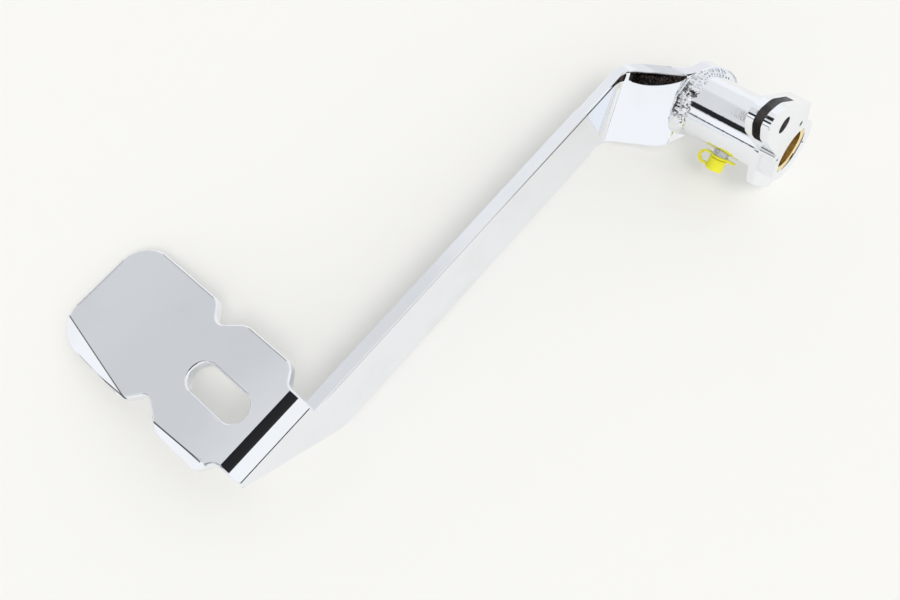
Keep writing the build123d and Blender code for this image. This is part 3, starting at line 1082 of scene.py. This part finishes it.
# %% [markdown]
# The arm is one piece of metal, so its mesh is made one too: the drawn bar keeps its
# middle, both new ends are laid against the cuts, and vertices that meet are merged.
# With the normals worked out again over the whole, no seam shows in the mirror.

# %% Arm in one
SEAM_DISTANCE = 2e-6
ARM_CORNER = 28


def whole_arm(piece):
    """The drawn middle stretch with both new ends, as one mesh in metres."""
    mesh = piece.data
    cut_away(mesh, (HUB_CUT_X, 0, 0), (-1, 0, 0), MM)
    cut_away(mesh, (0, FOLD_Y, 0), (0, -1, 0), MM)
    tool = bmesh.new()
    tool.from_mesh(mesh)
    for part in (pad_mesh(), hub_mesh()):
        part.transform(Matrix.Scale(MM, 4))
        tool.from_mesh(part)
    bmesh.ops.remove_doubles(tool, verts=tool.verts, dist=SEAM_DISTANCE)
    bmesh.ops.dissolve_limit(tool, angle_limit=FLAT, verts=tool.verts, edges=tool.edges)
    bmesh.ops.recalc_face_normals(tool, faces=tool.faces)
    tool.to_mesh(mesh)
    tool.free()
    mesh.materials.clear()
    mesh.materials.append(plate_chrome)
    smooth(piece, ARM_CORNER)
    print("arm", len(mesh.polygons), "faces")


whole_arm(skins["pedal_arm"])

# %% [markdown]
# The pedal lies on a white table as it does in a shop picture: on its stop tab,
# the arm's lower corner and the pad's far corner. In the pedal's own frame that
# table is tilted, so its height is found from the lowest point along its normal.

# %% Table
TABLE_NORMAL = Vector((-0.006, 0.290, 0.957)).normalized()
TABLE_MIDDLE = Vector((0.14, -0.05, 0))
TABLE_HALF = 1.6
TABLE_GAP = 0.0002
lowest = min(
    TABLE_NORMAL.dot(piece.matrix_world @ vertex.co)
    for piece in skins.values()
    for vertex in piece.data.vertices
)
across = Vector((1, 0, 0)) - TABLE_NORMAL * TABLE_NORMAL.x
across.normalize()
along = TABLE_NORMAL.cross(across)
centre = TABLE_MIDDLE - TABLE_NORMAL * TABLE_NORMAL.dot(TABLE_MIDDLE)
centre = centre + TABLE_NORMAL * (lowest - TABLE_GAP)
corners = [
    centre + across * (a * TABLE_HALF) + along * (b * TABLE_HALF) for a, b in QUARTERS
]
table_mesh = bpy.data.meshes.new("table")
table_mesh.from_pydata(corners, [], [(0, 1, 2, 3)])
table = bpy.data.objects.new("table", table_mesh)
bpy.context.collection.objects.link(table)
print("lowest point along the table's normal, mm:", round(lowest / MM, 2))

# %% [markdown]
# The table is a white board. The camera and the chrome see it a little brighter than it is
# lit, which keeps the picture's ground white without more light on the pedal, and the
# shadow stays. Mirrors alone also see a dark stripe far off on it: the black line that
# runs along the tube. From below, the board is see-through.

# %% Table top
BOARD_WHITE = (0.80, 0.79, 0.765, 1)
BOARD_GLOW = (1, 0.99, 0.965, 1)
NEARLY_BLACK = (0.02, 0.02, 0.025, 1)
STRIPE_Y = (0.15, 0.85, 0.01)
STRIPE_X = (0.18, 0.50, 0.03)


def table_top():
    """White from above, with a dark stripe for mirrors, clear from below."""
    material = bpy.data.materials.new("table_top")
    recipe = Recipe(material)
    lit = recipe.add("ShaderNodeBsdfDiffuse", {}, {"Color": BOARD_WHITE}, "BSDF")
    glow = recipe.add("ShaderNodeEmission", {}, {"Color": BOARD_GLOW, "Strength": 0.12}, 0)
    seen = recipe.new("ShaderNodeLightPath")
    camera_or_mirror = Term(recipe, seen.outputs["Is Camera Ray"]) + Term(
        recipe, seen.outputs["Is Glossy Ray"]
    )
    both = recipe.new("ShaderNodeAddShader")
    recipe.link(lit.socket, both.inputs[0])
    recipe.link(glow.socket, both.inputs[1])
    shown = recipe.new("ShaderNodeMixShader")
    recipe.link(camera_or_mirror.socket, shown.inputs[0])
    recipe.link(lit.socket, shown.inputs[1])
    recipe.link(both.outputs[0], shown.inputs[2])
    x, y, _ = recipe.axes(recipe.place())
    mirrored = Term(recipe, seen.outputs["Is Glossy Ray"])
    beyond = y.between(*STRIPE_Y) * x.between(*STRIPE_X) * mirrored
    shade = recipe.add("ShaderNodeBsdfDiffuse", {}, {"Color": NEARLY_BLACK}, "BSDF")
    striped = recipe.new("ShaderNodeMixShader")
    recipe.link(beyond.socket, striped.inputs[0])
    recipe.link(shown.outputs[0], striped.inputs[1])
    recipe.link(shade.socket, striped.inputs[2])
    under = recipe.new("ShaderNodeBsdfTransparent")
    side = recipe.new("ShaderNodeNewGeometry")
    see_through = recipe.new("ShaderNodeMixShader")
    recipe.link(side.outputs["Backfacing"], see_through.inputs[0])
    recipe.link(striped.outputs[0], see_through.inputs[1])
    recipe.link(under.outputs[0], see_through.inputs[2])
    recipe.surface(Term(recipe, see_through.outputs[0]))
    return material


table_mesh.materials.append(table_top())
print("table", round(2 * TABLE_HALF, 1), "m square")

# %% [markdown]
# Chrome needs a room to mirror. This one is built from directions alone: bright walls,
# a greyer ceiling, a dark floor beyond the table's edge, a dark strip overhead and two
# small dark patches in front. The fold and the tube turn those into the crisp black and
# white bands that make metal look chromed. The camera itself sees a plain pale ground.

# %% Room
WALL_FROM = (0.25, 0.40)
CEILING_FROM = (0.30, 0.42)
WALL_LIGHT = 1.02
CEILING_LIGHT = 0.72
# The ceiling isn't even: where each change starts and ends, and how much lighter it gets.
CEILING_FAR = (-0.66, -0.60, -0.03)
CEILING_MIDDLE = (-0.55, -0.48, 0.09)
CEILING_SIDE = (-0.30, -0.20, 0.13)
FLOOR_BELOW = (0.01, 0.03)
FLOOR_SIDE = (-0.5, -0.2)
STRIP_ACROSS = (-0.15, 0.38, 0.02)
STRIP_ALONG = (-0.27, 0.515, 0.012)
STRIP_ABOVE = (0.5, 0.6)
# Azimuth and elevation of each dark patch, and its radius, all in degrees.
DARK_PATCHES = ((-24, 39, 9), (-50, 46, 5))
DARKEST = 0.97
SEEN_LIGHT = 0.9
ROOM_COLOUR = (0.97, 0.985, 1.0, 1)


def direction(azimuth, elevation):
    """The unit vector that points there, both in degrees."""
    turn = math.radians(azimuth)
    rise = math.radians(elevation)
    return Vector(
        (math.cos(rise) * math.cos(turn), math.cos(rise) * math.sin(turn), math.sin(rise))
    )


room = bpy.data.worlds.new("room")
bpy.context.scene.world = room
recipe = Recipe(room)
look = recipe.add("ShaderNodeTexCoord", {}, {}, "Generated")


def towards(axis):
    """How nearly a direction points along this axis, from -1 to 1."""
    return recipe.add(
        "ShaderNodeVectorMath", {"operation": "DOT_PRODUCT"}, {0: look, 1: axis}, "Value"
    )


def patch(azimuth, elevation, radius, softness=1.0):
    """1 in a round patch of the room."""
    near = math.cos(math.radians(radius - softness))
    far = math.cos(math.radians(radius + softness))
    return towards(direction(azimuth, elevation)).step_to(far, near)


look_x, look_y, _ = recipe.axes(look)
height = towards(TABLE_NORMAL)
over_edge = towards(TABLE_NORMAL + Vector((0, 0.1, 0)))
wall = look_y.step_to(*WALL_FROM)
ceiling = height.step_to(*CEILING_FROM) * (1 - wall)
roof = CEILING_LIGHT
for first, last, lighter in (CEILING_FAR, CEILING_MIDDLE):
    roof = look_y.step_to(first, last) * lighter + roof
first, last, lighter = CEILING_SIDE
roof = roof + (1 - look_x.step_to(first, last)) * lighter
floor = (1 - over_edge.step_to(*FLOOR_BELOW)) * look_x.step_to(*FLOOR_SIDE)
overhead = look_x.between(*STRIP_ACROSS) * look_y.between(*STRIP_ALONG)
overhead = overhead * height.step_to(*STRIP_ABOVE)
clear = (1 - floor) * (1 - overhead)
for place in DARK_PATCHES:
    clear = clear * (1 - patch(*place))
light = WALL_LIGHT * (1 - ceiling) + roof * ceiling
level = light * (1 - (1 - clear) * DARKEST)
seen_by_camera = Term(recipe, recipe.new("ShaderNodeLightPath").outputs["Is Camera Ray"])
level = level * (1 - seen_by_camera) + seen_by_camera * SEEN_LIGHT
glow = recipe.add("ShaderNodeBackground", {}, {"Color": ROOM_COLOUR, "Strength": level}, 0)
recipe.surface(glow, "ShaderNodeOutputWorld")
print("room with", len(DARK_PATCHES), "dark patches and a strip overhead")

# %% [markdown]
# The fold alone has a deeper black than the room gives: a dark card hung above the
# camera, which only mirrors see, takes it from the room's dark strip to the pad.

# %% Dark card
CARD_HEIGHT = 0.25
CARD_CORNERS = (
    (0.215, -0.110),
    (0.340, -0.110),
    (0.340, -0.215),
    (0.308, -0.195),
    (0.285, -0.176),
    (0.215, -0.158),
)
card_mesh = bpy.data.meshes.new("dark_card")
card_mesh.from_pydata(
    [(x, y, CARD_HEIGHT) for x, y in CARD_CORNERS], [], [tuple(range(len(CARD_CORNERS)))]
)
card = bpy.data.objects.new("dark_card", card_mesh)
bpy.context.collection.objects.link(card)
card.visible_camera = False
card.visible_diffuse = False
card.visible_shadow = False
black = bpy.data.materials.new("card_black")
recipe = Recipe(black)
recipe.surface(recipe.add("ShaderNodeEmission", {}, {"Color": NEARLY_BLACK, "Strength": 1.0}, 0))
card_mesh.materials.append(black)
print("card", CARD_HEIGHT, "m up")

# %% [markdown]
# The room lights everything evenly. One wide, weak sun adds the soft shadow that sets
# the pedal on the table. Mirrors don't see it, or it would be a glint on each round.

# %% Window light
SUN_AZIMUTH = 75
SUN_ELEVATION = 52
sun_data = bpy.data.lights.new("window_sun", "SUN")
sun_data.energy = 0.9
sun_data.color = (1.0, 0.985, 0.95)
sun_data.angle = math.radians(28)
sun = bpy.data.objects.new("window_sun", sun_data)
sun.visible_glossy = False
towards_sun = direction(SUN_AZIMUTH, SUN_ELEVATION)
sun.rotation_euler = towards_sun.to_track_quat("Z", "Y").to_euler()
bpy.context.collection.objects.link(sun)
print("window light from", SUN_ELEVATION, "degrees up")

# %% [markdown]
# The camera looks from above the lug's side, down across the tube to the pad. Its
# place and lens come from fitting the pedal's straight edges and right angles to
# the picture.

# %% Camera
CAMERA_RIGHT = Vector((-0.6561, 0.7293, -0.1940))
CAMERA_DOWN = Vector((0.7234, 0.5345, -0.4371))
CAMERA_AHEAD = Vector((-0.2151, -0.4271, -0.8782))
CAMERA_PLACE = Vector((0.2498, 0.1318, 0.3774))
CAMERA_LENS = 36.24
camera_data = bpy.data.cameras.new("camera")
camera_data.sensor_width = 36.0
camera_data.lens = CAMERA_LENS
camera = bpy.data.objects.new("camera", camera_data)
turn = Matrix((CAMERA_RIGHT, -CAMERA_DOWN, -CAMERA_AHEAD)).transposed()
camera.matrix_world = Matrix.Translation(CAMERA_PLACE) @ turn.to_4x4()
bpy.context.collection.objects.link(camera)
bpy.context.scene.camera = camera
bpy.context.scene.view_settings.view_transform = "Standard"
print("camera lens, mm:", CAMERA_LENS)
